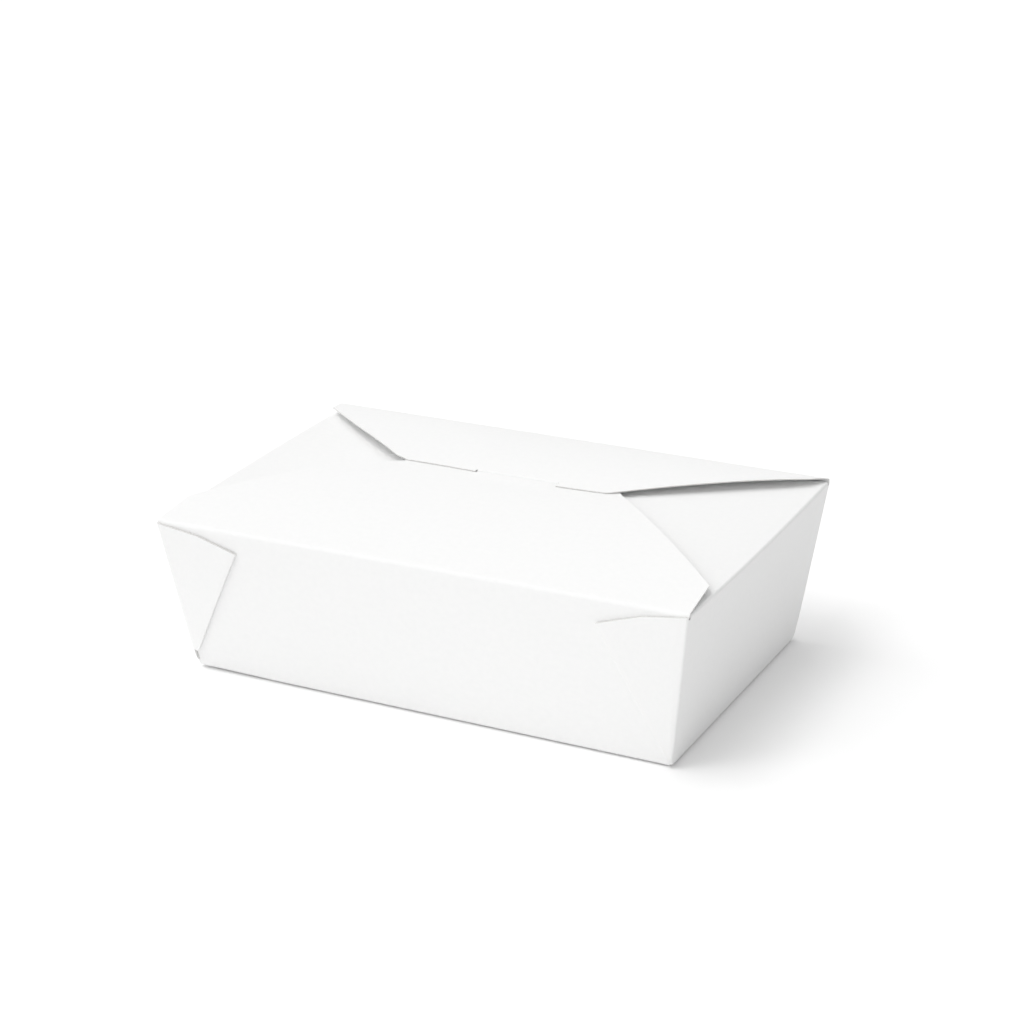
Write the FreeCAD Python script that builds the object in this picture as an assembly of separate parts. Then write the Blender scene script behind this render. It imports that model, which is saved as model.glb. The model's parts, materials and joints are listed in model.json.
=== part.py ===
import FreeCAD, Part
import math
import os

# A takeout food box folded from one sheet of white board, standing closed on a table.
# Millimetres. X runs along the length, Y from the front wall (-Y) to the back wall (+Y), Z is up.
# The origin is the middle of the base, on the table.

# The tapered tray, measured over the outer faces of its panels
base_length = 198.5
base_width = 127.0
rim_length = 216.0
rim_width = 147.0
wall_height = 63.5

# The board and the way it folds
board = 0.45
crease_radius = 0.9
corner_radius = 1.3
ply_gap = 0.06
corner_opening = 1.2

# The corner webs, folded flat against the outside of the front and back walls
web_edge_cut = 0.5
web_length = 62.0
web_kink_angle = 16.0
web_start = 3.2
web_ease = 4.0

# The end flaps, folded in first, which rise inwards until the long flaps hold them down
end_flap_depth = 68.0
end_flap_rise = 3.2
end_flap_taper = 28.0
end_flap_corner = 8.0
end_flap_side_gap = 1.3

# The front and back flaps: their creases stand above the end flaps' creases
crease_lift = 1.8
crease_end_gap = 0.3
lock_line = 12.0
lock_rise = 4.2
front_crown = 1.8
back_crown = 2.4
flap_gap = 0.1

# The plan of the front flap
front_tip_inset = 1.2
front_tip_length = 22.0
front_edge_bow = 2.5
front_shoulder = 46.0
hidden_lip_depth = 12.0
hidden_lip_taper = 10.0

# The plan of the back flap
back_tip_inset = 1.2
back_tip_length = 8.5
back_shoulder = 43.0
back_shoulder_shift = -3.0
back_chamfer_length = 6.0
back_chamfer_depth = 3.0
back_edge_bow = 1.2

# The tongue on the back flap, the short cuts beside its neck, and the slot that it goes down through
tongue_width = 34.4
tongue_shift = 2.0
tongue_taper = 4.0
tongue_length = 10.0
tongue_bend_radius = 1.0
slot_clearance = 0.25
slot_back_room = 1.2
neck_relief = 0.3

# The back flap's crease, which turns about the middle of the board
hinge_clearance = 0.05

# Room for the straight cuts that go right through a panel
through = 20.0

X = FreeCAD.Vector(1, 0, 0)
Y = FreeCAD.Vector(0, 1, 0)
Z = FreeCAD.Vector(0, 0, 1)


def face_of(points):
    return Part.Face(Part.makePolygon(list(points) + [points[0]]))


def inset(points, normal, distances):
    """Moves each edge of a flat outline inwards by its own distance and meets the moved edges again."""
    moved = []
    count = len(points)
    for i in range(count):
        along = (points[(i + 1) % count] - points[i]).normalize()
        inward = normal.cross(along)
        moved.append((points[i] + inward * distances[i], along))
    corners = []
    for i in range(count):
        start, along = moved[i]
        before, before_along = moved[i - 1]
        across = normal.cross(before_along)
        step = across.dot(before - start) / across.dot(along)
        corners.append(start + along * step)
    return corners


def panel(points, normal, distances):
    """A flat panel of board: the outline lies on its outer face, and the board's thickness goes inwards."""
    return face_of(inset(points, normal, distances)).extrude(normal * -board)


def setback(normal_a, normal_b, radius):
    return radius * math.tan(normal_a.getAngle(normal_b) / 2)


def fold(start, end, normal_a, normal_b, radius):
    """The rounded crease between two panels whose outer faces would meet along start to end."""
    centre = start - (normal_a + normal_b) * (radius / (1 + normal_a.dot(normal_b)))
    middle = (normal_a + normal_b).normalize()
    return ring_piece(centre, normal_a, middle, normal_b, radius, end - start)


def ring_piece(centre, first, middle, last, radius, along):
    """A part turn of board about an axis, from the direction first, through middle, to last."""
    inner = radius - board
    outside = Part.Arc(centre + first * radius, centre + middle * radius, centre + last * radius)
    inside = Part.Arc(centre + last * inner, centre + middle * inner, centre + first * inner)
    wire = Part.Wire([
        outside.toShape(),
        Part.makeLine(centre + last * radius, centre + last * inner),
        inside.toShape(),
        Part.makeLine(centre + first * inner, centre + first * radius),
    ])
    return Part.Face(wire).extrude(along)


def mirrored(shape, normal):
    return shape.mirror(FreeCAD.Vector(0, 0, 0), normal)


# The lean of the walls and the outward directions of the panels
long_lean = math.atan2((rim_width - base_width) / 2, wall_height)
end_lean = math.atan2((rim_length - base_length) / 2, wall_height)
front_normal = FreeCAD.Vector(0, -math.cos(long_lean), -math.sin(long_lean))
end_normal = FreeCAD.Vector(math.cos(end_lean), 0, -math.sin(end_lean))
end_flap_angle = math.radians(end_flap_rise)
end_flap_normal = FreeCAD.Vector(math.sin(end_flap_angle), 0, math.cos(end_flap_angle))
down = FreeCAD.Vector(0, 0, -1)

# The front right corner: its foot, and the way its edge climbs
corner_foot = FreeCAD.Vector(base_length / 2, -base_width / 2, 0)
corner_top = FreeCAD.Vector(rim_length / 2, -rim_width / 2, wall_height)
corner_edge = (corner_top - corner_foot).normalize()
corner_length = (corner_top - corner_foot).Length

# The two outer layers of each web, as distances out from the front wall's outer face
inner_ply_face = ply_gap + board
outer_ply_face = 2 * (ply_gap + board)

# The web's fold halves the angle that the flat blank has left at the corner, less the ease that
# lets the two layers lie flat over the board's thickness
front_corner_angle = corner_edge.getAngle(FreeCAD.Vector(-1, 0, 0))
end_corner_angle = corner_edge.getAngle(Y)
web_angle = (math.radians(270) - front_corner_angle - end_corner_angle) / 2 - math.radians(web_ease)
into_front = front_normal.cross(corner_edge).normalize()

# The turn of the front wall's edge into the web's inner layer
turn_radius = board + ply_gap / 2
turn_inset = corner_radius - ply_gap


def wall_point(x_sign, y_sign, height):
    """The point at a height on one of the tray's four corner edges."""
    share = height / wall_height
    x = (base_length + (rim_length - base_length) * share) / 2
    y = (base_width + (rim_width - base_width) * share) / 2
    return FreeCAD.Vector(x_sign * x, y_sign * y, height)


def web_direction(angle):
    """A direction in the front wall's plane, turned from the corner edge towards the wall's middle."""
    return corner_edge * math.cos(angle) + into_front * math.sin(angle)


class FlapCurve:
    """The shallow arc that a long flap takes in the YZ plane, from its crease to the lock line."""

    def __init__(self, crease, lock, crown, toward):
        chord = math.hypot(lock[0] - crease[0], lock[1] - crease[1])
        half_turn = 2 * math.atan2(2 * crown, chord)
        chord_slope = math.atan2(lock[1] - crease[1], abs(lock[0] - crease[0]))
        self.toward = toward
        self.radius = chord / (2 * math.sin(half_turn))
        self.start_slope = chord_slope + half_turn
        self.crease = FreeCAD.Vector(0, crease[0], crease[1])
        self.normal = FreeCAD.Vector(0, -toward * math.sin(self.start_slope), math.cos(self.start_slope))
        self.centre = self.crease - self.normal * self.radius

    def direction(self, length):
        """The outward normal of the arc after a length along it."""
        slope = self.start_slope - length / self.radius
        return FreeCAD.Vector(0, -self.toward * math.sin(slope), math.cos(slope))

    def length_to(self, y):
        """The length along the arc from the crease to a place in Y."""
        sine = self.toward * (self.centre.y - y) / self.radius
        return (self.start_slope - math.asin(sine)) * self.radius

    def strip(self, start, end, half_length):
        """The flap's board between two lengths along the arc, over the box's whole length."""
        piece = ring_piece(
            self.centre, self.direction(start), self.direction((start + end) / 2),
            self.direction(end), self.radius, X * (2 * half_length),
        )
        piece.translate(X * -half_length)
        return piece


# The creases and the arcs of the two long flaps
crease_height = wall_height + crease_lift
crease_y = wall_point(1, 1, crease_height).y
lock_height = crease_height + lock_rise
front_curve = FlapCurve((-crease_y, crease_height), (lock_line, lock_height), front_crown, 1)
back_curve = FlapCurve(
    (crease_y, crease_height), (lock_line, lock_height + board + flap_gap), back_crown, -1)
flap_half_length = wall_point(1, 1, crease_height).x - crease_end_gap

# The middle of the board at the back crease, about which the back flap turns
back_normal = FreeCAD.Vector(0, math.cos(long_lean), -math.sin(long_lean))
hinge_axis = back_curve.crease - (back_normal + back_curve.normal) * (
    board / 2 / (1 + back_normal.dot(back_curve.normal)))
tongue_radius = math.hypot(hinge_axis.y - lock_line, lock_height + board + flap_gap - hinge_axis.z)


def base():
    corners = [wall_point(*signs, 0) for signs in ((1, 1), (1, -1), (-1, -1), (-1, 1))]
    along = setback(front_normal, down, crease_radius)
    across = setback(end_normal, down, crease_radius)
    return panel(corners, down, [across, along, across, along])


def front_wall(top_inset):
    corners = [
        wall_point(-1, -1, 0), wall_point(1, -1, 0),
        wall_point(1, -1, crease_height), wall_point(-1, -1, crease_height),
    ]
    foot = setback(front_normal, down, crease_radius)
    return panel(corners, front_normal, [foot, turn_inset, top_inset, turn_inset])


def foot_fold_front():
    inwards = X * setback(end_normal, down, crease_radius)
    return fold(
        wall_point(-1, -1, 0) + inwards, wall_point(1, -1, 0) - inwards, front_normal, down, crease_radius)


def foot_fold_end():
    inwards = Y * setback(front_normal, down, crease_radius)
    return fold(
        wall_point(1, -1, 0) + inwards, wall_point(1, 1, 0) - inwards, end_normal, down, crease_radius)


def end_wall():
    """The right end wall, wide enough to wrap round the outer layer of the webs."""
    spread = Y * (outer_ply_face / math.cos(long_lean))
    corners = [
        wall_point(1, -1, 0) - spread, wall_point(1, 1, 0) + spread,
        wall_point(1, 1, wall_height) + spread, wall_point(1, -1, wall_height) - spread,
    ]
    side = setback(end_normal, front_normal, corner_radius)
    foot = setback(end_normal, down, crease_radius)
    head = setback(end_normal, end_flap_normal, crease_radius)
    return panel(corners, end_normal, [foot, side, head, side])


def end_flap_point(along, y):
    """A point on the right end flap's outer face, at a distance along the board from its crease."""
    x = rim_length / 2 - along * math.cos(end_flap_angle)
    return FreeCAD.Vector(x, y, wall_height + along * math.sin(end_flap_angle))


def end_flap():
    """The right end flap and its crease, folded over the box's mouth."""
    side = end_flap_side_gap
    crease_front = wall_point(1, -1, wall_height) + Y * side
    crease_back = wall_point(1, 1, wall_height) - Y * side
    crease = fold(crease_front, crease_back, end_normal, end_flap_normal, crease_radius)
    head = setback(end_normal, end_flap_normal, crease_radius)
    half = rim_width / 2 - side
    tip = half - end_flap_taper
    shoulder = end_flap_depth - end_flap_corner
    outline = [
        end_flap_point(head, -half),
        end_flap_point(head, half),
        end_flap_point(shoulder, tip),
        end_flap_point(end_flap_depth, tip - end_flap_corner),
        end_flap_point(end_flap_depth, -tip + end_flap_corner),
        end_flap_point(shoulder, -tip),
    ]
    return [crease, face_of(outline).extrude(end_flap_normal * -board)]


def corner_web():
    """The front right web: its two layers, its turns and the end wall's wrap round them."""
    reach = corner_length - web_edge_cut
    out = front_normal
    kink = web_direction(math.radians(web_kink_angle)) * web_length
    fold_end = web_direction(web_angle) * web_length
    wrap_foot = corner_foot - Y * (outer_ply_face / math.cos(long_lean))
    wrap = fold(
        wrap_foot + corner_edge * crease_radius, wrap_foot + corner_edge * reach,
        front_normal, end_normal, corner_radius)

    def layer(face_distance, corner_inset):
        foot = corner_foot + out * face_distance
        outline = [foot, foot + corner_edge * reach, foot + kink, foot + fold_end]
        return panel(outline, out, [corner_inset, 0, 0, turn_radius])

    wrap_shift = (wrap_foot - corner_foot - out * outer_ply_face).dot(into_front)
    outer = layer(outer_ply_face, setback(end_normal, front_normal, corner_radius) + wrap_shift)
    inner = layer(inner_ply_face, turn_inset)
    turn_centre = corner_foot + into_front * turn_inset + out * (ply_gap / 2)
    wall_turn = ring_piece(
        turn_centre + corner_edge * web_start, out, into_front * -1, out * -1,
        turn_radius, corner_edge * (reach - web_start))
    diagonal = web_direction(web_angle)
    away = web_direction(web_angle + math.pi / 2)
    fold_centre = corner_foot - away * turn_radius + out * (inner_ply_face + ply_gap / 2)
    web_turn = ring_piece(
        fold_centre + diagonal * web_start, out, away, out * -1,
        turn_radius, diagonal * (web_length - web_start - turn_radius))
    return [wrap, outer, inner, wall_turn, web_turn]


def bowed_edge(start, end, bow):
    """A shallow arc in plan from start to end, standing out to the right of the way it runs."""
    along = end - start
    middle = (start + end) * 0.5 + along.cross(Z).normalize() * bow
    return Part.Arc(start, middle, end).toShape()


def front_flap_plan():
    """The front flap from above: short cuts at the crease, bowed sides and a hidden lip behind the lock."""
    tip_x = flap_half_length - front_tip_inset
    tip_y = -crease_y + front_tip_length
    lip_y = lock_line + hidden_lip_depth
    lip_x = front_shoulder - hidden_lip_taper
    right = [
        FreeCAD.Vector(flap_half_length, -crease_y, 0), FreeCAD.Vector(tip_x, tip_y, 0),
        FreeCAD.Vector(front_shoulder, lock_line, 0), FreeCAD.Vector(lip_x, lip_y, 0),
    ]
    left = [FreeCAD.Vector(-p.x, p.y, 0) for p in right]
    front = -Y * through
    edges = [
        Part.makeLine(left[0] + front, right[0] + front),
        Part.makeLine(right[0] + front, right[0]),
        Part.makeLine(right[0], right[1]),
        bowed_edge(right[1], right[2], front_edge_bow),
        Part.makeLine(right[2], right[3]),
        Part.makeLine(right[3], left[3]),
        Part.makeLine(left[3], left[2]),
        bowed_edge(left[2], left[1], front_edge_bow),
        Part.makeLine(left[1], left[0]),
        Part.makeLine(left[0], left[0] + front),
    ]
    return Part.Face(Part.Wire(edges)).extrude(Z * (lock_height + through))


def slot():
    """The opening in the front flap: the tongue's thickness and width, with clearance all round."""
    half = tongue_width / 2 + slot_clearance
    front = lock_line - slot_clearance
    back = lock_line + board + slot_back_room
    corner = FreeCAD.Vector(tongue_shift - half, front, lock_height - through)
    return Part.makeBox(2 * half, back - front, 2 * through, corner)


def front_flap():
    crease_set = setback(front_normal, front_curve.normal, crease_radius)
    half = flap_half_length
    start = FreeCAD.Vector(-half, -crease_y, crease_height)
    crease = fold(start, start + X * (2 * half), front_normal, front_curve.normal, crease_radius)
    leaf = front_curve.strip(crease_set, front_curve.length_to(lock_line + hidden_lip_depth), half)
    leaf = leaf.common(front_flap_plan()).cut(slot())
    return [crease, leaf]


def back_wall_top():
    """The rounded top edge of the back wall, about which the back flap turns."""
    half = flap_half_length
    return Part.makeCylinder(board / 2, 2 * half, FreeCAD.Vector(-half, hinge_axis.y, hinge_axis.z), X)


def corner_pinholes():
    """The small openings at the feet of the corners, where the board's creases meet in a point."""
    feet = [wall_point(x_sign, y_sign, 0) for x_sign in (-1, 1) for y_sign in (-1, 1)]
    return [Part.makeSphere(corner_opening, foot) for foot in feet]


def carton():
    hinge_drop = (back_curve.crease - hinge_axis).dot(
        FreeCAD.Vector(0, math.sin(long_lean), math.cos(long_lean)))
    front_drop = setback(front_normal, front_curve.normal, crease_radius)
    pieces = [base(), front_wall(front_drop), mirrored(front_wall(hinge_drop), Y)]
    pieces += [foot_fold_front(), mirrored(foot_fold_front(), Y), back_wall_top()]
    end_pieces = [end_wall(), foot_fold_end()] + end_flap()
    for web_piece in corner_web():
        end_pieces += [web_piece, mirrored(web_piece, Y)]
    pieces += end_pieces + [mirrored(piece, X) for piece in end_pieces]
    pieces += front_flap()
    return pieces[0].multiFuse(pieces[1:]).removeSplitter().cut(corner_pinholes())


def back_flap_plan():
    """The back flap from above: short cuts at the crease, sides, chamfered shoulders and a free edge."""
    tip_x = flap_half_length - back_tip_inset
    tip_y = crease_y - back_tip_length
    shoulder_y = lock_line + back_chamfer_depth
    back = Y * through
    points = {}
    for side in (-1, 1):
        corner_x = back_shoulder_shift + side * back_shoulder
        points[side] = [
            FreeCAD.Vector(side * flap_half_length, crease_y, 0),
            FreeCAD.Vector(side * tip_x, tip_y, 0),
            FreeCAD.Vector(corner_x + side * back_chamfer_length, shoulder_y, 0),
            FreeCAD.Vector(corner_x, lock_line, 0),
        ]
    right, left = points[1], points[-1]
    edges = [
        Part.makeLine(right[0] + back, left[0] + back),
        Part.makeLine(left[0] + back, left[0]),
        Part.makeLine(left[0], left[1]),
        bowed_edge(left[1], left[2], back_edge_bow),
        Part.makeLine(left[2], left[3]),
        Part.makeLine(left[3], right[3]),
        Part.makeLine(right[3], right[2]),
        bowed_edge(right[2], right[1], back_edge_bow),
        Part.makeLine(right[1], right[0]),
        Part.makeLine(right[0], right[0] + back),
    ]
    return Part.Face(Part.Wire(edges)).extrude(Z * (lock_height + through))


def circle_meeting(circle_a, radius_a, circle_b, radius_b, near):
    """The point in YZ at one distance from each of two centres, on the side nearer to a given point."""
    apart = circle_b - circle_a
    along = (radius_a ** 2 - radius_b ** 2 + apart.Length ** 2) / (2 * apart.Length)
    aside = math.sqrt(radius_a ** 2 - along ** 2)
    unit = FreeCAD.Vector(apart).normalize()
    middle = circle_a + unit * along
    meetings = [middle + unit.cross(X) * aside, middle - unit.cross(X) * aside]
    return min(meetings, key=lambda point: point.distanceToPoint(near))


def tongue_outline():
    """The tongue from the front: full width at the bend, narrower at its tip."""
    half = tongue_width / 2
    top = lock_height + tongue_length
    bottom = lock_height - tongue_length
    outline = [
        FreeCAD.Vector(tongue_shift - half, 0, top), FreeCAD.Vector(tongue_shift + half, 0, top),
        FreeCAD.Vector(tongue_shift + half, 0, lock_height - board),
        FreeCAD.Vector(tongue_shift + half - tongue_taper, 0, bottom),
        FreeCAD.Vector(tongue_shift - half + tongue_taper, 0, bottom),
        FreeCAD.Vector(tongue_shift - half, 0, lock_height - board),
    ]
    return face_of(outline).extrude(Y * rim_width)


def back_flap():
    """The back flap: its arched leaf, and the tongue that bends down into the front flap's slot."""
    bend = tongue_bend_radius
    free_edge = FreeCAD.Vector(0, lock_line, lock_height)
    centre = circle_meeting(
        back_curve.centre, back_curve.radius - bend, hinge_axis, tongue_radius - bend, free_edge)
    leaf_side = (centre - back_curve.centre).normalize()
    tongue_side = (centre - hinge_axis).normalize()
    neck_y = centre.y + leaf_side.y * bend
    start = setback(back_normal, back_curve.normal, board / 2) + board / 2 + hinge_clearance
    leaf = back_curve.strip(start, back_curve.length_to(lock_line - board), flap_half_length)
    leaf = leaf.common(back_flap_plan())
    half = tongue_width / 2 + neck_relief
    corner = FreeCAD.Vector(tongue_shift - half, lock_line - board, lock_height - through)
    leaf = leaf.cut(Part.makeBox(2 * half, neck_y - lock_line + board, 2 * through, corner))
    left = X * (tongue_shift - tongue_width / 2)
    turn_side = (leaf_side + tongue_side).normalize()
    turn = ring_piece(centre + left, leaf_side, turn_side, tongue_side, bend, X * tongue_width)
    tip_turn = tongue_length / tongue_radius
    tip_side = FreeCAD.Rotation(X, math.degrees(tip_turn)).multVec(tongue_side)
    middle_side = FreeCAD.Rotation(X, math.degrees(tip_turn / 2)).multVec(tongue_side)
    tongue = ring_piece(
        hinge_axis + left, tongue_side, middle_side, tip_side, tongue_radius, X * tongue_width)
    return leaf.multiFuse([turn, tongue.common(tongue_outline())]).removeSplitter()


def check_piece(name, shape):
    print(name, "solids", len(shape.Solids), "valid", shape.isValid(), "volume", round(shape.Volume, 2))


os.makedirs("parts", exist_ok=True)
nodes = {"carton": carton(), "back_flap": back_flap()}
for name, shape in nodes.items():
    check_piece(name, shape)
    shape.exportStep("parts/" + name + ".step")
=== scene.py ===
import json
import math

import bpy
import numpy as np
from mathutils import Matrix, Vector


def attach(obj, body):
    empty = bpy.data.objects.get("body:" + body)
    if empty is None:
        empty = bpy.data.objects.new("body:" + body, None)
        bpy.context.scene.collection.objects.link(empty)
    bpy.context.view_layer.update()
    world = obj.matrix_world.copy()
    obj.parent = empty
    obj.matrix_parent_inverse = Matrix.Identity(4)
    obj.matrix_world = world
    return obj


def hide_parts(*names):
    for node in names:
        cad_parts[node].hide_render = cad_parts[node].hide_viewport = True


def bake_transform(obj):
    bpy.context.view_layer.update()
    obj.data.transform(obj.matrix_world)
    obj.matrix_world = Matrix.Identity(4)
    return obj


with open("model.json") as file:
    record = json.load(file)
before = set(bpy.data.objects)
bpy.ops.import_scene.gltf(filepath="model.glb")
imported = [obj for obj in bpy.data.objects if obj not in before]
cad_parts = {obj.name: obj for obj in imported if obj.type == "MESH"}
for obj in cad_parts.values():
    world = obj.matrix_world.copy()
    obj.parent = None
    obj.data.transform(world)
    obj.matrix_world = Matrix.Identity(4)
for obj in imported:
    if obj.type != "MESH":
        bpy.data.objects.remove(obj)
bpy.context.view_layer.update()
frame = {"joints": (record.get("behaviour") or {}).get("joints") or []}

# The paperboard: the whole box is one sheet of smooth white food board, bleached and uncoated. Fine
# fibres give it a slight tooth, and its pulp is very faintly mottled. At the cut edges the raw core
# between its two faces shows, a little greyer and rougher.
thickness = 0.45
pulp_dark, pulp_light = (0.92, 0.921, 0.918, 1), (0.94, 0.94, 0.936, 1)
core_dark, core_light = (0.66, 0.655, 0.64, 1), (0.80, 0.795, 0.78, 1)
pulp_scale, fibre_scale, core_scale = 420, 1500, 900
pulp_detail, pulp_roughness, pulp_low, pulp_high, fibre_detail = 6, 0.6, 0.3, 0.7, 5
tooth_depth, tooth_strength = 0.00003, 0.25


def matt_material(name, roughness, specular):
    """A new material with its roughness and specular level: gives it, its node tree and its shader."""
    material = bpy.data.materials.new(name)
    material.use_nodes = True
    tree = material.node_tree
    shader = tree.nodes["Principled BSDF"]
    shader.inputs["Roughness"].default_value = roughness
    shader.inputs["Specular IOR Level"].default_value = specular
    return material, tree, shader


def grain(tree, place, scale, detail=2.0, roughness=0.5):
    """Noise over a place in metres, with scale cells to the metre: gives its level, from 0 to 1."""
    noise = tree.nodes.new("ShaderNodeTexNoise")
    noise.inputs["Scale"].default_value = scale
    noise.inputs["Detail"].default_value = detail
    noise.inputs["Roughness"].default_value = roughness
    tree.links.new(place, noise.inputs["Vector"])
    return noise.outputs["Fac"]


def tinted(tree, level, dark, light, low=0.0, high=1.0):
    """A colour that runs evenly from dark, where the level is low, to light, where it is high."""
    ramp = tree.nodes.new("ShaderNodeValToRGB")
    for stop, position, colour in zip(ramp.color_ramp.elements, (low, high), (dark, light)):
        stop.position = position
        stop.color = colour
    tree.links.new(level, ramp.inputs["Fac"])
    return ramp.outputs["Color"]


white_board, tree, surface = matt_material("white paperboard", 0.7, 0.08)
on_blank = tree.nodes.new("ShaderNodeUVMap")
on_blank.uv_map = "flat"
pulp = grain(tree, on_blank.outputs["UV"], pulp_scale, pulp_detail, pulp_roughness)
mottle = tinted(tree, pulp, pulp_dark, pulp_light, pulp_low, pulp_high)
tree.links.new(mottle, surface.inputs["Base Color"])
tooth = tree.nodes.new("ShaderNodeBump")
tooth.inputs["Strength"].default_value = tooth_strength
tooth.inputs["Distance"].default_value = tooth_depth
fibres = grain(tree, on_blank.outputs["UV"], fibre_scale, fibre_detail)
tree.links.new(fibres, tooth.inputs["Height"])
tree.links.new(tooth.outputs["Normal"], surface.inputs["Normal"])

board_core, tree, core = matt_material("board core", 0.9, 0.1)
in_core = tree.nodes.new("ShaderNodeTexCoord")
layers = grain(tree, in_core.outputs["Object"], core_scale)
tree.links.new(tinted(tree, layers, core_dark, core_light), core.inputs["Base Color"])

# The carton's long way: the back wall, base, front wall and front flap are one run of board, creased at
# both feet and at the front. The flap arches over the end flaps, and has the lock's slot near its free
# edge and a short lip beyond it. Sizes are in mm, and each mesh is made in metres.
mm, sharp_from = 0.001, math.radians(38)
base_half_length, base_half_width = 99.25, 63.5
rim_half_length, rim_half_width, wall_height = 108.0, 73.5, 63.5
crease_height, crease_end_gap = 65.3, 0.3
foot_radius, front_radius, back_seam = 0.9, 1.6, 4.0
lock_y, lock_z, front_crown = 12.0, 69.5, 1.8
slot_x, slot_y = (-15.45, 19.45), (11.75, 13.65)
front_tip_length, front_tip_inset, front_shoulder = 22.0, 1.2, 46.0
front_bow_right, front_bow_left = 0.5, 4.0
lip_depth, lip_half_length = 12.0, 36.0
long_lean = math.atan2(rim_half_width - base_half_width, wall_height)
end_lean = math.atan2(rim_half_length - base_half_length, wall_height)
crease_y = base_half_width + crease_height * math.tan(long_lean)
flap_half_length = base_half_length + crease_height * math.tan(end_lean) - crease_end_gap
wall_run = math.hypot(crease_y - base_half_width, crease_height)


def travel(start, heading, pieces):
    """The board's outer face in section. Each piece is (length, turn, steps): the heading turns evenly
    over the length, so each step is its chord, ds * sin(h) / h along its middle heading, with h half of
    its turn. Gives the points, their headings and the length run at each."""
    length, turn, steps = np.array(pieces, float).T
    steps = steps.astype(int)
    ds = np.repeat(length / steps, steps)
    bend = np.repeat(turn / steps, steps)
    headings = heading + np.concatenate([[0], np.cumsum(bend)])
    middle = headings[:-1] + bend / 2
    chord = ds * np.sinc(bend / 2 / math.pi)
    moves = chord[:, None] * np.stack([np.cos(middle), np.sin(middle)], 1)
    points = np.array(start, float) + np.concatenate([[[0, 0]], np.cumsum(moves, 0)])
    return points, headings, np.concatenate([[0], np.cumsum(ds)])


def sheet_of_board(outer, normals, flat, keep):
    """A closed sheet over a grid of cells: inner = outer - thickness * normal, and a quad of the core
    closes each edge that only one kept cell has. Gives vertices, quads, places on the blank, is_core."""
    index = np.arange(outer.shape[0] * outer.shape[1]).reshape(outer.shape[:2])
    offset = index.size
    a, b, c, d = index[:-1, :-1], index[:-1, 1:], index[1:, 1:], index[1:, :-1]
    face = np.stack([a[keep], b[keep], c[keep], d[keep]], 1)
    padded = np.pad(keep, 1)
    above, after, below, before = padded[:-2, 1:-1], padded[1:-1, 2:], padded[2:, 1:-1], padded[1:-1, :-2]
    sides = []
    for first, last, beyond in ((a, b, above), (b, c, after), (c, d, below), (d, a, before)):
        rim = keep & ~beyond
        sides.append(np.stack([last[rim], first[rim], first[rim] + offset, last[rim] + offset], 1))
    quads = np.concatenate([face, face[:, ::-1] + offset, *sides])
    vertices = np.concatenate([outer.reshape(-1, 3), (outer - thickness * normals).reshape(-1, 3)])
    corners = outer.reshape(-1, 3)[face]
    facing = np.cross(corners[:, 1] - corners[:, 0], corners[:, 3] - corners[:, 0])
    if np.sum(facing * normals.reshape(-1, 3)[face[:, 0]]) < 0:
        quads = quads[:, ::-1]
    is_core = np.arange(len(quads)) >= 2 * len(face)
    return vertices, quads, np.concatenate([flat.reshape(-1, 2)] * 2), is_core


def board_object(name, sheets):
    """One mesh of closed sheets, smooth but for its cut edges, with the flat blank as its UV map."""
    vertices, quads, flat, is_core, count = [], [], [], [], 0
    for sheet in sheets:
        used, fresh = np.unique(sheet[1], return_inverse=True)
        vertices.append(sheet[0][used])
        flat.append(sheet[2][used])
        quads.append(fresh.reshape(-1, 4) + count)
        is_core.append(sheet[3])
        count += len(used)
    quads = np.concatenate(quads)
    mesh = bpy.data.meshes.new(name)
    mesh.from_pydata((np.concatenate(vertices) * mm).tolist(), [], quads.tolist())
    blank = mesh.uv_layers.new(name="flat")
    corner_places = (np.concatenate(flat) * mm)[quads.ravel()].astype(np.float32)
    blank.data.foreach_set("uv", corner_places.ravel())
    mesh.materials.append(white_board)
    mesh.materials.append(board_core)
    mesh.polygons.foreach_set("material_index", np.concatenate(is_core).astype(np.int32))
    mesh.polygons.foreach_set("use_smooth", np.ones(len(quads), bool))
    mesh.set_sharp_from_angle(angle=sharp_from)
    made = bpy.data.objects.new(name, mesh)
    bpy.context.scene.collection.objects.link(made)
    return made


def smooth(t):
    """An even step from 0 to 1: t * t * (3 - 2 * t), with t held between 0 and 1."""
    t = np.clip(t, 0, 1)
    return t * t * (3 - 2 * t)


wall_bulge = 1.3


def bulge(x, z):
    """How far the long walls and the webs on them stand out: sin(pi * z) * (1 - x ** 4), in shares of
    the crease's height and of the rim's half length, so 0 at the creases and the corners."""
    share = np.clip(z / crease_height, 0, 1)
    return wall_bulge * np.sin(math.pi * share) * (1 - np.clip(np.abs(x) / rim_half_length, 0, 1) ** 4)


base_skew, base_spread = 0.0247, 0.006
edge_lift, left_lift, left_from, left_run, lift_height = 0.8, 0.5, 55.0, 45.0, 12.0


def as_folded(points):
    """The tray as folded by hand. By low = 1 - height, each level slides to y - skew * x * low and
    spreads to x * (1 + spread * low). The base's edges stand off the table by lift * max(x, y) ** 6, in
    shares of its half sizes, and half as far again at the left end, so that it rests on its middle."""
    x, y, z = points[..., 0], points[..., 1], points[..., 2]
    low = 1 - np.clip(z / wall_height, 0, 1)
    outermost = np.maximum(np.abs(x) / base_half_length, np.abs(y) / base_half_width)
    left = 1 + left_lift * smooth((-x - left_from) / left_run)
    lift = edge_lift * left * np.clip(outermost, 0, 1) ** 6 * (1 - smooth(z / lift_height))
    return np.stack([x * (1 + base_spread * low), y - base_skew * x * low, z + lift], -1)


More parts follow.
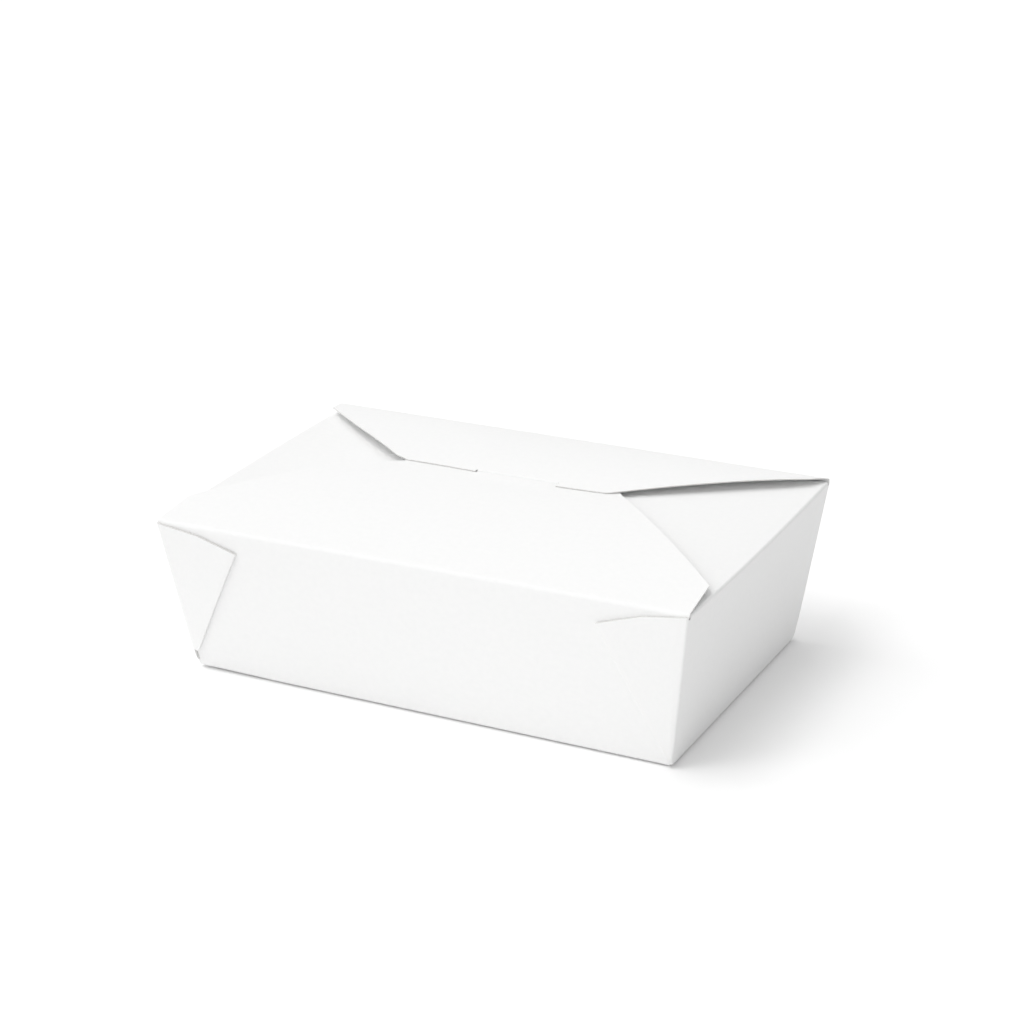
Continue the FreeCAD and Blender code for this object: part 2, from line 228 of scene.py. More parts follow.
def flap_arc(crease, lock, crown):
    """The arc from a crease to the lock line that stands crown above its chord. It turns by half_turn =
    2 * atan(2 * crown / chord) to each side of its middle, and radius = chord / 2 / sin(half_turn).
    Gives its radius, its slope at the crease, and y and z of its centre."""
    chord = math.hypot(lock[0] - crease[0], lock[1] - crease[1])
    half_turn = 2 * math.atan2(2 * crown, chord)
    slope = math.atan2(lock[1] - crease[1], abs(lock[0] - crease[0])) + half_turn
    radius = chord / 2 / math.sin(half_turn)
    centre_y = crease[0] + math.copysign(radius * math.sin(slope), lock[0] - crease[0])
    return radius, slope, np.array([centre_y, crease[1] - radius * math.cos(slope)])


def arc_length(y, way, radius, slope, centre):
    """The length along a flap's arc from its crease to a place y: radius * (slope - asin(d / radius)),
    with d how far y is short of the centre. way is 1 for a flap that runs to the back, and -1 for one
    that runs to the front."""
    return radius * (slope - math.asin(way * (centre[0] - y) / radius))


def arc_pieces(stops, steps, way, radius):
    """The pieces of travel between lengths along a flap's arc, each turning down by length / radius."""
    return [(b - a, -way * (b - a) / radius, n) for a, b, n in zip(stops[:-1], stops[1:], steps)]


def flap_side(y, crease, tip, shoulder, end, bow):
    """x of a flap's side at y, through four points of (x, y): straight from the crease to the tip, on to
    the shoulder along a chord that stands out by 4 * bow * t * (1 - t), and straight to the end."""
    way = math.copysign(1, end[1] - crease[1])
    t = np.linspace(0, 1, 200)
    chord = np.array(shoulder) - np.array(tip)
    across = np.array([chord[1], -chord[0]]) / np.hypot(*chord)
    across = across * math.copysign(1, across[0] * tip[0])
    bowed = np.array(tip) + chord * t[:, None] + across * (4 * bow * t * (1 - t))[:, None]
    before = np.interp(way * y, (way * crease[1], way * tip[1]), (crease[0], tip[0]))
    between = np.interp(way * y, way * bowed[:, 1], bowed[:, 0])
    beyond = np.interp(way * y, (way * shoulder[1], way * end[1]), (shoulder[0], end[0]))
    by_shoulder = np.where(way * y <= way * shoulder[1] + 1e-6, between, beyond)
    return np.where(way * y <= way * tip[1] + 1e-6, before, by_shoulder)


side_cells = 29


def across_flap(left, centre, right):
    """x over a grid: even steps from each row's left limit in to the columns of the centre, and even
    steps on from them to its right limit."""
    steps = np.linspace(0, 1, side_cells + 1)
    return np.concatenate([
        left[:, None] + (centre[0] - left[:, None]) * steps[None, :-1],
        np.repeat(centre[None, :], len(left), 0),
        centre[-1] + (right[:, None] - centre[-1]) * steps[None, 1:],
    ], 1)


foot_turn = math.pi / 2 - long_lean
foot_set = foot_radius * math.tan(foot_turn / 2)
front_arc, front_slope, front_centre = flap_arc((-crease_y, crease_height), (lock_y, lock_z), front_crown)
front_turn = math.pi / 2 + long_lean - front_slope
front_set = front_radius * math.tan(front_turn / 2)
front_bend = front_turn + front_set / front_arc
front_tip_y, fine_from_y, lip_y = -crease_y + front_tip_length, 2.0, lock_y + lip_depth
flap_places = (front_tip_y, fine_from_y, slot_y[0], lock_y, slot_y[1], lip_y)
flap_stops = [front_set] + [arc_length(y, 1, front_arc, front_slope, front_centre) for y in flap_places]
back_rows, foot_rows, base_rows, front_rows, crease_rows = 28, 6, 24, 36, 12
front_flap_rows = (16, 30, 12, 1, 2, 8)
pieces = [
    (wall_run - back_seam - foot_set, 0, back_rows),
    (foot_radius * foot_turn, -foot_turn, foot_rows),
    (2 * (base_half_width - foot_set), 0, base_rows),
    (foot_radius * foot_turn, -foot_turn, foot_rows),
    (wall_run - foot_set - front_set, 0, front_rows),
    (front_radius * front_bend, -front_bend, crease_rows),
] + arc_pieces(flap_stops, front_flap_rows, 1, front_arc)
rows_before = np.cumsum([0] + [piece[2] for piece in pieces])
back_wall_end, base_start, base_end, front_wall_start, front_wall_end = rows_before[1:6]
slot_start, slot_end = rows_before[9], rows_before[11]
seam = (crease_y - back_seam * math.sin(long_lean), crease_height - back_seam * math.cos(long_lean))
section, headings, run = travel(seam, -math.pi / 2 - long_lean, pieces)
y, z = section.T
row = np.arange(len(y))
on_base = (row >= base_start) & (row <= base_end)
on_flap = row >= front_wall_end
on_wall = (row < back_wall_end) | ((row > front_wall_start) & (row < front_wall_end))

# The run stops short of the corners, to leave room for the webs' folds: by one inset on the walls, one on
# the base, and one round the feet, where three layers meet. The flap's sides are cut in to its shoulders.
wall_inset, base_inset, foot_inset, left_foot_inset = 1.27, 0.8, 1.0, 0.55
foot_zone, foot_top, left_foot_top = 2.2, 2.0, 3.4
corner_x = base_half_length + (rim_half_length - base_half_length) * np.clip(z, 0, None) / wall_height
by_foot = np.abs(y) > base_half_width - foot_zone
half = np.where(on_base, base_half_length - base_inset, corner_x - wall_inset)
half = np.where(by_foot & (z < foot_top), base_half_length - foot_inset, half)
beside_fold = by_foot & (z < left_foot_top) & ~on_base
right_side, left_side = half.copy(), -np.where(beside_fold, corner_x - left_foot_inset, half)
flap_y = np.clip(y, -crease_y, None)
for side, limit, bow in ((1, right_side, front_bow_right), (-1, left_side, front_bow_left)):
    outline = [
        (side * flap_half_length, -crease_y), (side * (flap_half_length - front_tip_inset), front_tip_y),
        (side * front_shoulder, lock_y), (side * lip_half_length, lip_y),
    ]
    limit[on_flap] = flap_side(flap_y, *outline, bow)[on_flap]
centre_half_length, slot_side_cells, slot_cells = 30.0, 6, 20
centre_columns = np.concatenate([
    np.linspace(-centre_half_length, slot_x[0], slot_side_cells + 1)[:-1],
    np.linspace(slot_x[0], slot_x[1], slot_cells + 1)[:-1],
    np.linspace(slot_x[1], centre_half_length, slot_side_cells),
])
x = across_flap(left_side, centre_columns, right_side)
outer = np.stack(np.broadcast_arrays(x, y[:, None], z[:, None]), 2)
normals = np.zeros_like(outer)
normals[..., 1] = -np.sin(headings)[:, None]
normals[..., 2] = np.cos(headings)[:, None]
stand_out = bulge(outer[..., 0], outer[..., 2]) * on_wall[:, None]
outer += stand_out[..., None] * normals

# As folded, the front crease sits a little low, and the tongue presses the slot's near edge up.
front_drop, drop_from_z = 1.2, 2.0
slot_rise, rise_from_y, rise_fade, past_edge = 0.42, 3.0, 2.5, 0.1
climb = np.clip((z - drop_from_z) / (crease_height - drop_from_z), 0, 1) * (y < -base_half_width)
reach = np.where(on_flap, 1 - smooth((y + crease_y) / (lock_y + crease_y)), climb)
outer += front_drop * reach[:, None, None] * np.array([0, math.sin(long_lean), -math.cos(long_lean)])
up_to_slot = smooth((outer[..., 1] - rise_from_y) / (slot_y[0] - rise_from_y))
rises = up_to_slot * (outer[..., 1] < slot_y[0] + past_edge) * on_flap[:, None]
in_slot = smooth((outer[..., 0] - slot_x[0]) / rise_fade) * smooth((slot_x[1] - outer[..., 0]) / rise_fade)
outer[..., 2] += slot_rise * rises * in_slot
keep = np.ones((outer.shape[0] - 1, outer.shape[1] - 1), bool)
first_slot_cell = side_cells + slot_side_cells
keep[slot_start:slot_end, first_slot_cell:first_slot_cell + slot_cells] = False
flat = np.stack(np.broadcast_arrays(x, run[:, None]), 2)
long_way = sheet_of_board(as_folded(outer), normals, flat, keep)

# The carton's two ends: an end wall and its flap, wrapped round both corners into the webs. Each web is
# folded back on itself along its diagonal, and lies flat against the long wall in two layers. Both ends
# are worked out as the right one, and the left one is mirrored.
corner_radius, head_radius = 0.9, 1.1
ply_gap, web_length, web_lift, web_edge_cut = 0.06, 62.0, 0.12, 0.5
web_kink, web_ease = math.radians(16), math.radians(3)
end_flap_depth, end_flap_side_gap, end_flap_taper, end_flap_corner = 68.0, 1.3, 28.0, 8.0
inner_ply, outer_ply = ply_gap + thickness, 2 * (ply_gap + thickness)
turn_radius, turn_inset = thickness + ply_gap / 2, 1.24
front_normal = np.array([0, -math.cos(long_lean), -math.sin(long_lean)])
end_normal = np.array([math.cos(end_lean), 0, -math.sin(end_lean)])
corner_foot = np.array([base_half_length, -base_half_width, 0])
corner_edge = np.array([rim_half_length, -rim_half_width, wall_height]) - corner_foot
corner_run = np.linalg.norm(corner_edge)
corner_edge = corner_edge / corner_run
into_front = np.cross(front_normal, corner_edge)
into_end = np.cross(corner_edge, end_normal)
front_corner, end_corner = math.acos(-corner_edge[0]), math.acos(corner_edge[1])
web_angle = (math.radians(270) - front_corner - end_corner) / 2 - web_ease
web_reach = corner_run - web_edge_cut
wrap_foot = corner_foot - np.array([0, outer_ply / math.cos(long_lean), 0])
corner_set = corner_radius * math.tan(math.acos(front_normal @ end_normal) / 2)
wrap_shift = (wrap_foot - corner_foot - front_normal * outer_ply) @ into_front


def towards(angle):
    """A direction in the front wall's plane, turned from the corner edge towards the wall's middle:
    edge * cos(angle) + inwards * sin(angle)."""
    return corner_edge * math.cos(angle) + into_front * math.sin(angle)


def turned(first, last, steps):
    """Unit directions from first round towards last, without last itself: over the angle w between them,
    (sin((1 - t) * w) * first + sin(t * w) * last) / sin(w)."""
    angle = math.acos(np.clip(first @ last, -1, 1))
    t = np.linspace(0, 1, steps + 1)[:-1, None]
    return (np.sin((1 - t) * angle) * first + np.sin(t * angle) * last) / math.sin(angle)


def web_cone(web_start, side_inset, steps):
    """A web layer in the front wall's plane: an apex, and the raw top edge from the corner by the kink to
    the diagonal, so that a row is apex + share * (top - apex). The diagonal starts web_start up the edge."""
    diagonal, away = towards(web_angle), towards(web_angle + math.pi / 2)
    start = corner_foot + corner_edge * web_start - away * turn_radius
    apex = start + diagonal * (side_inset + turn_radius * math.cos(web_angle)) / math.sin(web_angle)
    top = np.array([
        corner_foot + corner_edge * web_reach + into_front * side_inset,
        corner_foot + towards(web_kink) * web_length,
        start + diagonal * (web_length - web_start * math.cos(web_angle) - turn_radius),
    ])
    parts = np.linalg.norm(np.diff(top, axis=0), axis=1)
    knots = np.concatenate([[0], np.cumsum(parts)]) / parts.sum()
    at = np.linspace(0, 1, steps + 1)
    return apex, np.stack([np.interp(at, knots, top[:, i]) for i in range(3)], 1)


foot_angle, head_angle = math.pi / 2 - end_lean, math.pi / 2 + end_lean
end_foot_set = foot_radius * math.tan(foot_angle / 2)
head_set = head_radius * math.tan(head_angle / 2)
end_run = wall_height / math.cos(end_lean)
low_share, high_share = end_foot_set / end_run, 1 - head_set / end_run
wall_rows, tip_rows = 34, 3
wall_shares = np.linspace(low_share, high_share, wall_rows)
shares = np.concatenate([wall_shares, np.linspace(high_share, 1, tip_rows + 1)[1:]])
turn_steps, inner_steps, diagonal_steps, outer_steps, wrap_steps = 4, 10, 5, 14, 12
part_columns = (2 * turn_steps, inner_steps, 2 * diagonal_steps, outer_steps, wrap_steps)
first_inner, first_diagonal, first_outer, first_wrap, half_columns = np.cumsum(part_columns)


def web_columns(web_start):
    """Half of the end band, as lines over the shares of the height with their outward directions: the
    turn from the front wall's edge, the web's inner layer, its diagonal fold, its outer layer, and the
    wrap round the corner. A fold's line is its centre line + radius * direction."""
    share = shares[None, :, None]
    outer_apex, outer_top = web_cone(web_start, corner_set + wrap_shift, outer_steps)
    inner_apex, inner_top = web_cone(web_start, turn_inset, inner_steps)
    away = towards(web_angle + math.pi / 2)
    up_edge = corner_edge * share * web_reach
    edge_out = np.concatenate([
        turned(front_normal, -into_front, turn_steps), turned(-into_front, -front_normal, turn_steps)])
    edge_centre = corner_foot + into_front * turn_inset + front_normal * (ply_gap / 2) + up_edge
    inner = inner_apex + share * (inner_top[:-1, None] - inner_apex) + front_normal * ply_gap
    fold_out = np.concatenate([
        turned(-front_normal, away, diagonal_steps), turned(away, front_normal, diagonal_steps)])
    between = front_normal * (inner_ply + ply_gap / 2)
    fold_start = inner_apex + share * (inner_top[-1] - inner_apex) + between
    fold_end = outer_apex + share * (outer_top[-1] - outer_apex) + between
    part = np.arange(len(fold_out))[:, None, None] / len(fold_out)
    fold_centre = fold_start + (fold_end - fold_start) * part
    outer_layer = outer_apex + share * (outer_top[:0:-1, None] - outer_apex) + front_normal * outer_ply
    wrap_out = turned(front_normal, end_normal, wrap_steps)
    wrap_in = (front_normal + end_normal) * corner_radius / (1 + front_normal @ end_normal)
    lines = np.concatenate([
        edge_centre + edge_out[:, None] * turn_radius,
        inner,
        fold_centre + fold_out[:, None] * turn_radius,
        outer_layer,
        wrap_foot + up_edge - wrap_in + wrap_out[:, None] * corner_radius,
    ])
    inner_out, outer_out = np.tile(-front_normal, (inner_steps, 1)), np.tile(front_normal, (outer_steps, 1))
    return lines, np.concatenate([edge_out, inner_out, fold_out, outer_out, wrap_out])


end_columns, flap_edge_margin, tuck_share = 49, 1.6, 0.95
flap_edge_y = rim_half_width - end_flap_side_gap
even_columns = np.linspace(-flap_edge_y, flap_edge_y, end_columns) / (flap_edge_y + flap_edge_margin)
across_end = np.concatenate([[-1], even_columns, [1]])
first_end, last_end = half_columns, half_columns + len(across_end) - 1
mirror_x, mirror_y = np.array([-1, 1, 1]), np.array([1, -1, 1])


def wall_band(web_start, tuck_height):
    """The end wall between its two webs, as a grid of points and outward directions: the half band, the
    wall's columns and the mirrored half band. The webs bulge with the long walls and stand web_lift off
    them at the diagonal fold. Below tuck_height the corner's wrap comes back on to the long wall."""
    half_lines, half_out = web_columns(web_start)
    corner_line = wrap_foot + corner_edge * shares[:, None] * web_reach + into_end * corner_set
    wall_lines = np.repeat(corner_line[None], len(across_end), 0)
    wall_lines[..., 1] *= -across_end[:, None]
    wall_out = np.tile(end_normal, (len(across_end), 1))
    lines = np.concatenate([half_lines, wall_lines, half_lines[::-1] * mirror_y])
    out = np.concatenate([half_out, wall_out, half_out[::-1] * mirror_y])
    wall = lines.transpose(1, 0, 2)
    on_web = np.ones(wall.shape[1])
    on_web[first_wrap:-first_wrap] = 0
    tuck = tuck_share * outer_ply * (1 - smooth(wall[..., 2] / tuck_height)) * (1 - on_web)
    wall[..., 1] -= tuck * np.clip(wall[..., 1] / base_half_width, -1, 1)
    web_places = (first_inner, first_diagonal, first_outer, first_wrap)
    fold_lift = web_lift * np.interp(np.arange(half_columns), web_places, (0, 1, 1, 0)) ** 2
    lift = np.concatenate([fold_lift, np.zeros(len(across_end)), fold_lift[::-1]])
    wall[..., 1] += np.sign(wall[..., 1]) * (bulge(wall[..., 0], wall[..., 2]) * on_web + lift)
    return wall, np.repeat(out[None], len(wall), 0)


def rows_across(section, headings, halves):
    """A section in x and z carried across the end: each row's columns lie at y = half * share."""
    shares_across = np.zeros(2 * half_columns + len(across_end))
    shares_across[first_end + 1:last_end] = across_end[1:-1] / across_end[-2]
    grid = np.stack(np.broadcast_arrays(
        section[:, :1], halves[:, None] * shares_across[None, :], section[:, 1:]), 2)
    facing = np.zeros_like(grid)
    facing[..., 0] = np.sin(headings)[:, None]
    facing[..., 2] = -np.cos(headings)[:, None]
    return grid, facing


def running_length(points):
    """The length along a line of points at each of them."""
    return np.concatenate([[0], np.cumsum(np.linalg.norm(np.diff(points, axis=0), axis=1))])


foot_start = (base_half_length - end_foot_set, 0)
foot_fold = [(foot_radius * foot_angle, foot_angle, foot_rows)]
foot_section, foot_headings = travel(foot_start, 0, foot_fold)[:2]
foot_halves = np.full(len(foot_section), base_half_width - foot_inset)
head_start = (base_half_length + end_run * high_share * math.sin(end_lean), high_share * wall_height)
flap_run = end_flap_depth - head_set
head_rows, end_flap_rows, flap_corner_rows = 12, 34, 8
side_sag, sag_half_width, blank_column = 0.45, 62.0, 20
head_bow, bow_depth = 1.2, 60.0


def end_of_carton(web_start, first_web_row, tuck_height, flap_slopes, back_rise):
    """One end as a grid: its columns run from web to web round the end wall, and its rows from the foot's
    fold up the wall and over the head's fold along the flap. The flap rises by the first of flap_slopes
    at its fold and by the second at its free end, and its sides hang by sag * y ** 4 of that. Near the
    wall, back_rise lifts the head's back corner, and its middle bows out by head_bow * (1 - y ** 2)."""
    wall, wall_out = wall_band(web_start, tuck_height)
    foot, foot_out = rows_across(foot_section, foot_headings, foot_halves)
    turn = head_angle - flap_slopes[0]
    head_section, head_headings, head_run = travel(head_start, math.pi / 2 - end_lean, [
        (head_radius * turn, turn, head_rows),
        (flap_run - end_flap_corner, flap_slopes[0] - flap_slopes[1], end_flap_rows),
        (end_flap_corner, 0, flap_corner_rows),
    ])
    along = np.clip(head_run - head_run[head_rows], 0, None)
    corner_cut = np.clip(along - (flap_run - end_flap_corner), 0, None)
    halves = flap_edge_y - end_flap_taper * along / flap_run - corner_cut
    head, head_out = rows_across(head_section, head_headings, halves)
    above = head[..., 2] - wall_height
    hang = 1 - side_sag * np.clip(np.abs(head[..., 1]) / sag_half_width, 0, 1) ** 4
    head[..., 2] = wall_height + np.where(above > 0, above * hang, above)

    band = np.concatenate([foot[:-1], wall[:wall_rows], head[1:]])
    band_out = np.concatenate([foot_out[:-1], wall_out[:wall_rows], head_out[1:]])
    first_wall = len(foot) - 1
    last_wall = first_wall + wall_rows - 1
    top_of_webs = last_wall + tip_rows
    columns = np.arange(band.shape[1])
    beside = (columns <= first_end) | (columns >= last_end)
    band[last_wall + 1:top_of_webs + 1, beside] = wall[wall_rows:, beside]
    band_out[last_wall + 1:top_of_webs + 1, beside] = wall_out[wall_rows:, beside]
    keep = np.zeros((band.shape[0] - 1, band.shape[1] - 1), bool)
    keep[:, first_end + 1:last_end - 1] = True
    keep[first_wall:last_wall, first_end:last_end] = True
    keep[first_wall + first_web_row:top_of_webs, :first_end] = True
    keep[first_wall + first_web_row:top_of_webs, last_end:] = True

    back = smooth((band[..., 1] + rim_half_width) / (2 * rim_half_width))
    near_wall = smooth((band[..., 0] - base_half_length + bow_depth) / bow_depth)
    band[..., 2] += back_rise * back * smooth(band[..., 2] / wall_height) * near_wall
    plan = 1 - np.clip(np.abs(band[..., 1]) / rim_half_width, 0, 1) ** 2
    band[..., 0] += head_bow * plan * np.clip(band[..., 2] / wall_height, 0, 1) * near_wall
    rows = running_length(band[:, first_end + blank_column])
    across = running_length(band[last_wall])
    return band, band_out, np.stack(np.broadcast_arrays(rows[:, None], across[None, :]), 2), keep


right_end = {
    "web_start": 0.0, "first_web_row": 0, "tuck_height": 2.5,
    "flap_slopes": np.radians((6.0, 2.0)), "back_rise": 0.9,
}
left_end = {
    "web_start": 3.7, "first_web_row": 1, "tuck_height": 5.0,
    "flap_slopes": np.radians((-2.5, 7.5)), "back_rise": 0.0,
}
right_band, right_out, right_flat, right_keep = end_of_carton(**right_end)
left_band, left_out, left_flat, left_keep = end_of_carton(**left_end)
right_place, left_place = np.array([200, 0]), np.array([500, 300])
carton = board_object("carton_board", [
    long_way,
    sheet_of_board(as_folded(right_band), right_out, right_flat + right_place, right_keep),
    sheet_of_board(as_folded(left_band * mirror_x), left_out * mirror_x, left_flat + left_place, left_keep),
])
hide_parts("carton")
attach(carton, "carton")

# The back flap: it bends over its crease from the top of the back wall, arches forward to the lock line
# and sends its tongue down through the front flap's slot. It is the same sheet of board as the carton.
# Where the leaf ends, a small bend that touches both arcs leads into the tongue.
back_radius, back_crown, flap_gap = 0.9, 2.4, 0.1
back_tip_length, back_shoulder, back_shoulder_shift = 10.0, 43.0, -3.0
chamfer_length, chamfer_depth = 6.0, 3.0
tongue_x, tongue_relief, tongue_length, tongue_taper, tongue_bend = (-15.2, 19.2), 0.3, 10.0, 4.0, 1.0
hinge = np.array(frame["joints"][0]["pos_m"])[1:] / mm
back_lock_z = lock_z + thickness + flap_gap
back_arc, back_slope, back_centre = flap_arc((crease_y, crease_height), (lock_y, back_lock_z), back_crown)
tongue_arc = math.hypot(hinge[0] - lock_y, back_lock_z - hinge[1])
leaf_reach, tongue_reach = back_arc - tongue_bend, tongue_arc - tongue_bend
apart = np.linalg.norm(hinge - back_centre)
unit = (hinge - back_centre) / apart
along = (leaf_reach ** 2 - tongue_reach ** 2 + apart ** 2) / (2 * apart)
aside = math.sqrt(leaf_reach ** 2 - along ** 2)
bend_centre = back_centre + unit * along + np.array([-unit[1], unit[0]]) * aside
leaf_side, tongue_side = (bend_centre - back_centre) / leaf_reach, (bend_centre - hinge) / tongue_reach
bend_turn = math.acos(leaf_side @ tongue_side)
back_turn = math.pi / 2 + long_lean - back_slope
back_set = back_radius * math.tan(back_turn / 2)
back_bend = back_turn + back_set / back_arc
neck_y = bend_centre[0] + leaf_side[0] * tongue_bend
back_tip_y, even_to_y, chamfer_y = crease_y - back_tip_length, 42.0, lock_y + chamfer_depth
leaf_places = (back_tip_y, even_to_y, chamfer_y, neck_y, lock_y)
leaf_stops = [back_set] + [arc_length(y, -1, back_arc, back_slope, back_centre) for y in leaf_places]
seam_rows, back_crease_rows, leaf_rows, edge_rows, bend_rows, tongue_rows = 3, 14, (8, 24, 24, 3), 2, 10, 8
shared = [
    (back_seam - back_set, 0, seam_rows),
    (back_radius * back_bend, back_bend, back_crease_rows),
] + arc_pieces(leaf_stops[:-1], leaf_rows, -1, back_arc)
leaf_end = arc_pieces(leaf_stops[-2:], (edge_rows,), -1, back_arc)
tongue_end = [
    (tongue_bend * bend_turn, bend_turn, bend_rows),
    (tongue_length, tongue_length / tongue_arc, tongue_rows),
]
wall_heading = math.pi / 2 - long_lean
leaf_section, leaf_headings = travel(seam, wall_heading, shared + leaf_end)[:2]
tongue_section, tongue_headings, tongue_run = travel(seam, wall_heading, shared + tongue_end)
neck_row = sum(piece[2] for piece in shared)

# The leaf's outline: short tips at the crease, sides cut in to the shoulders, and a chamfer at each. The
# right tip is cut in further than the left. Rows past the leaf's own belong to the tongue alone.
tongue_side_cells, tongue_cells = 6, 19
centre_columns = np.concatenate([
    np.linspace(-centre_half_length, tongue_x[0] - tongue_relief, tongue_side_cells + 1),
    np.linspace(tongue_x[0], tongue_x[1], tongue_cells + 1),
    np.linspace(tongue_x[1] + tongue_relief, centre_half_length, tongue_side_cells),
])
extra_rows = len(tongue_section) - len(leaf_section)
leaf_section = np.pad(leaf_section, ((0, extra_rows), (0, 0)), "edge")
leaf_headings = np.pad(leaf_headings, (0, extra_rows), "edge")
outline_y = np.clip(leaf_section[:, 0], lock_y, crease_y)
right_bow, left_bow, right_tip_inset, left_tip_inset = 1.2, 0.2, 5.0, 1.0
limits = {}
for side, bow, tip_inset in ((1, right_bow, right_tip_inset), (-1, left_bow, left_tip_inset)):
    chamfer_start = back_shoulder_shift + side * (back_shoulder + chamfer_length)
    outline = [
        (side * flap_half_length, crease_y), (side * (flap_half_length - tip_inset), back_tip_y),
        (chamfer_start, chamfer_y), (back_shoulder_shift + side * back_shoulder, lock_y),
    ]
    limits[side] = flap_side(outline_y, *outline, bow)
x = across_flap(limits[-1], centre_columns, limits[1])
row = np.arange(len(x))[:, None]
cell = np.arange(x.shape[1] - 1)[None, :]
first_tongue = side_cells + tongue_side_cells + 1
last_tongue = first_tongue + tongue_cells
column = np.arange(x.shape[1])[None, :]
in_tongue = (column >= first_tongue) & (column <= last_tongue)
tongue_middle, tongue_half = (tongue_x[0] + tongue_x[1]) / 2, (tongue_x[1] - tongue_x[0]) / 2
taper = np.clip((row - neck_row - bend_rows) / tongue_rows, 0, 1) * tongue_taper
narrowed = tongue_middle + (x - tongue_middle) * (1 - taper / tongue_half)
outer = np.zeros(x.shape + (3,))
outer[..., 0] = np.where(in_tongue, narrowed, x)
outer[..., 1:] = np.where(in_tongue[..., None], tongue_section[:, None, :], leaf_section[:, None, :])
angle = np.where(in_tongue, tongue_headings[:, None], leaf_headings[:, None])
normals = np.stack([np.zeros_like(angle), np.sin(angle), -np.cos(angle)], 2)
stand_out = bulge(outer[..., 0], outer[..., 2]) * (row <= seam_rows)
outer += stand_out[..., None] * normals

# As folded, the leaf springs up a little just past its crease, its left side hangs slack, and its free
# edge reaches further forward right of the middle, rising by a small share of that.
slack_depth, slack_from, slack_run = 2.3, 15.0, 90.0
spring_rise, spring_run = 0.8, 9.0
past_reach, past_x, past_run, past_rise = 2.8, 18.0, 30.0, 0.035
chamfer_rows, chamfer_from, chamfer_run = 4, 22.0, 14.0
share = np.clip((crease_y - outer[..., 1]) / (crease_y - lock_y), 0, 1)
slack = slack_depth * np.sin(math.pi * share) * smooth((-outer[..., 0] - slack_from) / slack_run)
spring = spring_rise * (1 - np.exp(-share * (crease_y - lock_y) / spring_run)) * (1 - share) ** 2
outer[..., 2] += spring * (share > 0) - slack
by_chamfer = np.clip((row - neck_row + chamfer_rows) / chamfer_rows, 0, 1)
by_chamfer = by_chamfer * smooth((np.abs(outer[..., 0]) - chamfer_from) / chamfer_run)
past = past_reach * np.exp(-((outer[..., 0] - past_x) / past_run) ** 2) * ~in_tongue
past = past * np.where(row > neck_row, 1.0, by_chamfer)
outer[..., 1] -= past
outer[..., 2] += past_rise * past
on_tongue = (cell >= first_tongue) & (cell < last_tongue)
in_relief = (cell == first_tongue - 1) | (cell == last_tongue)
keep = (row[:-1] < neck_row) | on_tongue | (~in_relief & (row[:-1] < neck_row + edge_rows))
back_flap_place = np.array([0, 600])
flat = np.stack(np.broadcast_arrays(x, tongue_run[:, None]), 2) + back_flap_place
back_flap = board_object("back_flap_board", [sheet_of_board(as_folded(outer), normals, flat, keep)])
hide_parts("back_flap")
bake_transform(back_flap)

# The floor: a wide matt white table top. It keeps the box's shadow, and glows by the little that its
# lighting falls short of white, for the rays that see it as background.
floor_half, floor_glow = 60, 0.048


def background_rays(tree):
    """1 for camera, glossy and transmission rays and 0 for the rest: the largest of the three."""
    path = tree.nodes.new("ShaderNodeLightPath")
    seen = path.outputs["Is Camera Ray"]
    for kind in ("Is Glossy Ray", "Is Transmission Ray"):
        largest = tree.nodes.new("ShaderNodeMath")
        largest.operation = "MAXIMUM"
        tree.links.new(seen, largest.inputs[0])
        tree.links.new(path.outputs[kind], largest.inputs[1])
        seen = largest.outputs["Value"]
    return seen


floor_corners = [(x * floor_half, y * floor_half, 0) for x, y in ((-1, -1), (1, -1), (1, 1), (-1, 1))]
floor_mesh = bpy.data.meshes.new("floor")
floor_mesh.from_pydata(floor_corners, [], [(0, 1, 2, 3)])
floor = bpy.data.objects.new("floor", floor_mesh)
bpy.context.scene.collection.objects.link(floor)
table_top, tree, top = matt_material("white floor", 1.0, 0.0)
top.inputs["Base Color"].default_value = (1, 1, 1, 1)
top.inputs["Emission Color"].default_value = (1, 1, 1, 1)
glow = tree.nodes.new("ShaderNodeMath")
glow.operation = "MULTIPLY"
glow.inputs[1].default_value = floor_glow
tree.links.new(background_rays(tree), glow.inputs[0])
tree.links.new(glow.outputs["Value"], top.inputs["Emission Strength"])
floor_mesh.materials.append(table_top)

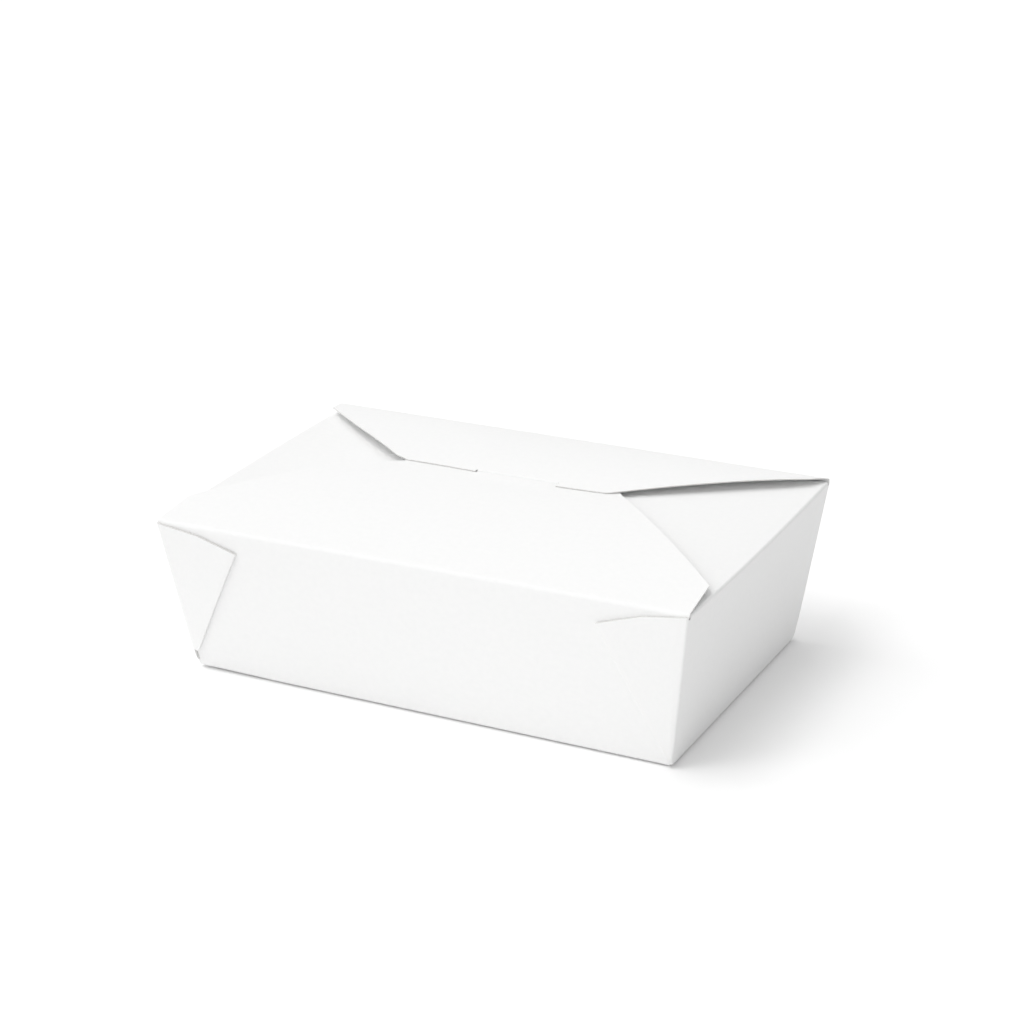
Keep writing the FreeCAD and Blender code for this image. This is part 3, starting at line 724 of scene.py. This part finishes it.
# The studio: a plain white room that lights the box evenly from all round, and shows as white behind it.
# Its light is weaker than it looks, so that the white board keeps its shading.
room_light, room_white = 0.492, 1.0
world = bpy.data.worlds.new("studio")
bpy.context.scene.world = world
world.use_nodes = True
tree = world.node_tree
tree.nodes.clear()
strength = tree.nodes.new("ShaderNodeMix")
strength.inputs["A"].default_value = room_light
strength.inputs["B"].default_value = room_white
tree.links.new(background_rays(tree), strength.inputs["Factor"])
room = tree.nodes.new("ShaderNodeBackground")
room.inputs["Color"].default_value = (1, 1, 1, 1)
tree.links.new(strength.outputs["Result"], room.inputs["Strength"])
room_out = tree.nodes.new("ShaderNodeOutputWorld")
tree.links.new(room.outputs["Background"], room_out.inputs["Surface"])

# The lamps: one broad soft light that reaches from the back left round to the front left, in five parts,
# and a low soft fill from the front. Each is its height and way round in degrees, and its level.
lamp_width = math.radians(28)
lamps = (
    (64, 120, 0.310), (64, 180, 0.361), (64, 240, 0.670),
    (38, 180, 0.309), (38, 225, 0.370),
    (13, 270, 0.262),
)
for height, way_round, level in lamps:
    lamp_data = bpy.data.lights.new("soft light", "SUN")
    lamp_data.energy = level
    lamp_data.angle = lamp_width
    lamp = bpy.data.objects.new("soft light", lamp_data)
    bpy.context.scene.collection.objects.link(lamp)
    lamp.rotation_euler = (math.radians(90 - height), 0, math.radians(way_round + 90))

# The camera: level, a little above the box and to its right, with a long lens about a metre away. It
# looks at a point in the box's middle, moved sideways and up in its own view.
sensor_width, focal_pixels, frame_pixels = 36.0, 2854.2, 1024
yaw, pitch, distance = 0.4391, 0.3659, 1.1072
view_right, view_up, middle_height = 0.0049215, 0.0255345, 0.032
lens = bpy.data.cameras.new("camera")
lens.sensor_width = sensor_width
lens.lens = focal_pixels / frame_pixels * sensor_width
camera = bpy.data.objects.new("camera", lens)
bpy.context.scene.collection.objects.link(camera)
forward = Vector((-math.sin(yaw) * math.cos(pitch), math.cos(yaw) * math.cos(pitch), -math.sin(pitch)))
right = Vector((math.cos(yaw), math.sin(yaw), 0))
up = right.cross(forward)
middle = Vector((0, 0, middle_height))
camera.location = middle - forward * distance + right * view_right + up * view_up
camera.rotation_euler = (math.pi / 2 - pitch, 0, yaw)
bpy.context.scene.camera = camera
bpy.context.scene.view_settings.view_transform = "Standard"
